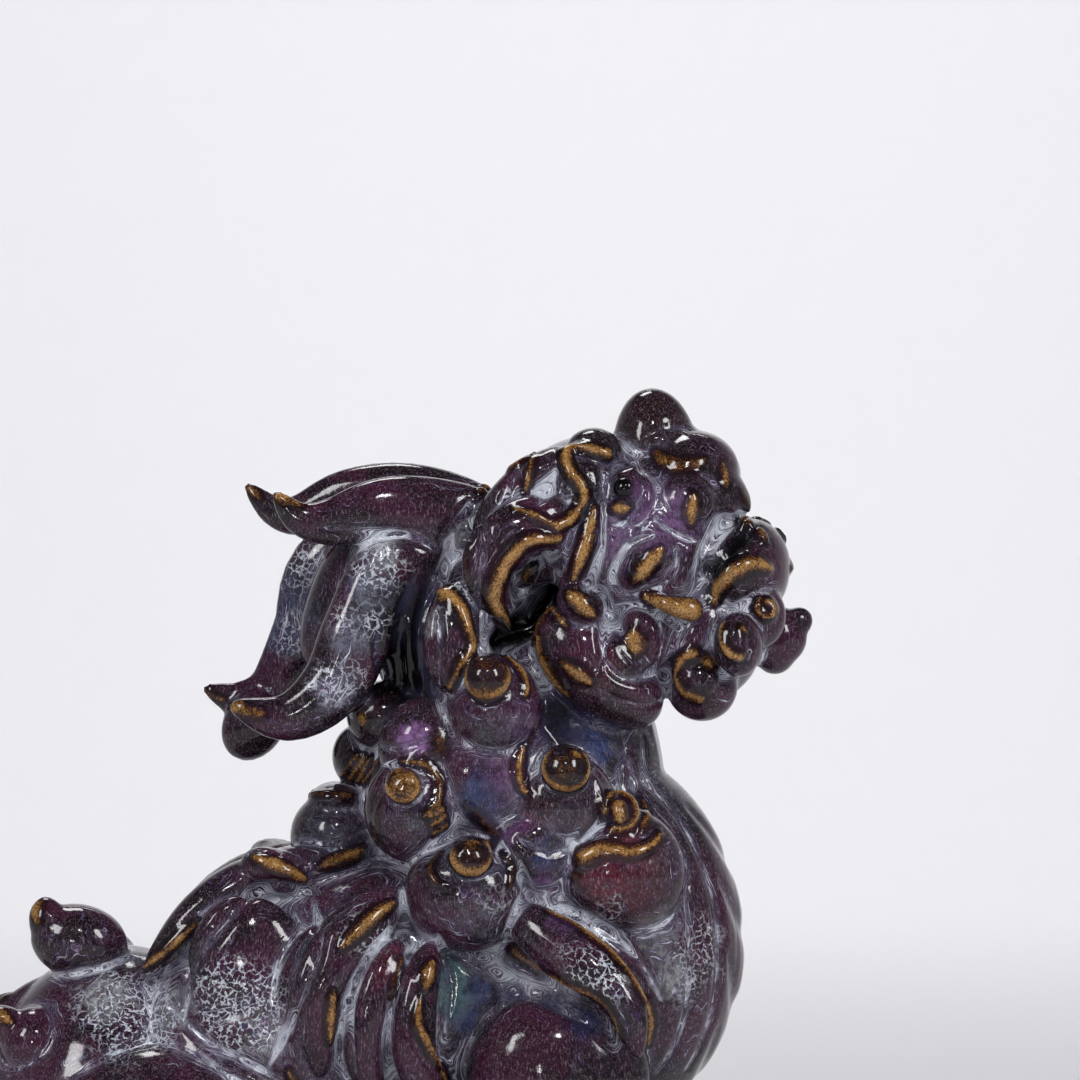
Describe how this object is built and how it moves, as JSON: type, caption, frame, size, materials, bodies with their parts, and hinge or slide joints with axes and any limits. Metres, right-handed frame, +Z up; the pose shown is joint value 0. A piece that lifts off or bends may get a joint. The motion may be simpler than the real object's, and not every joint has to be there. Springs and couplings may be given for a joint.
{
  "type": "glazed mythical beast statue",
  "caption": "Seated guardian beast in dark streaked glaze, with raised head, swept crest, curled mane and a low slab base, fired as one piece.",
  "frame": {"origin": "middle of the flat underside of the base", "axes": "+X the way the beast faces, +Y its left side, +Z up"},
  "size_m": [0.2232, 0.124, 0.2831],
  "materials": {
    "flambe_glaze": "High-gloss aubergine glaze with fine white and blue-grey streaks that follow the relief, golden brown where it runs thin on the ridges and pale blue pools in the hollows"
  },
  "bodies": {
    "root": {"glazed_beast": "flambe_glaze"}
  },
  "joints": []
}
